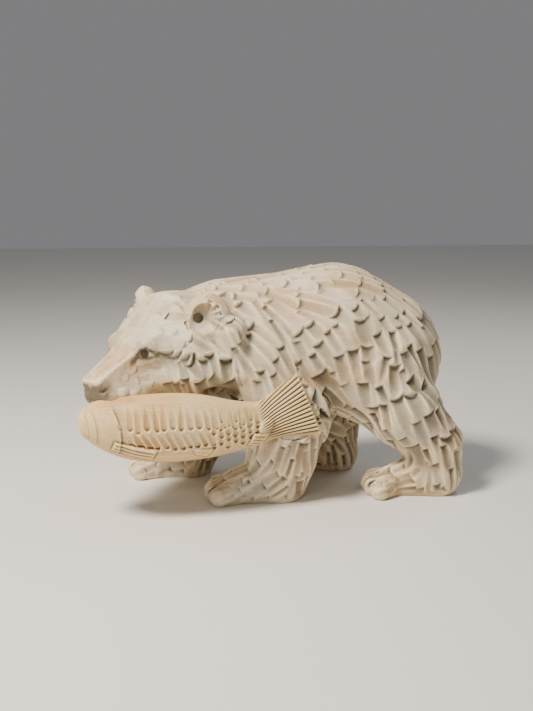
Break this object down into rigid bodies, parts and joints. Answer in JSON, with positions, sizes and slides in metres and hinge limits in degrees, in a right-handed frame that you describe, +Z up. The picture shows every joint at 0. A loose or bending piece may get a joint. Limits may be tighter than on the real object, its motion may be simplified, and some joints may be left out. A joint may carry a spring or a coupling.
{
  "type": "carved wooden bear figurine",
  "caption": "Carved wooden bear, walking, with a salmon held crosswise in its jaws, gouge-cut fur and glass bead eyes.",
  "frame": {"origin": "on the surface the figure stands on, under the middle of its outer box", "axes": "+Z up, nose towards -X, the bear's left side and the salmon towards -Y"},
  "size_m": [0.296, 0.15, 0.178],
  "materials": {
    "bear_wood": "unvarnished limewood, gouge cut",
    "salmon_wood": "unvarnished wood, knife cut and smoothed",
    "bead_glass": "dark polished glass",
    "stem_wire": "drawn wire",
    "dowel_wood": "plain turned dowel"
  },
  "bodies": {
    "root": {"bear_carving": "bear_wood", "salmon": "salmon_wood", "left_eye_bead": "bead_glass", "right_eye_bead": "bead_glass", "left_eye_stem": "stem_wire", "right_eye_stem": "stem_wire", "jaw_dowel": "dowel_wood", "shoulder_dowel": "dowel_wood"}
  },
  "joints": []
}
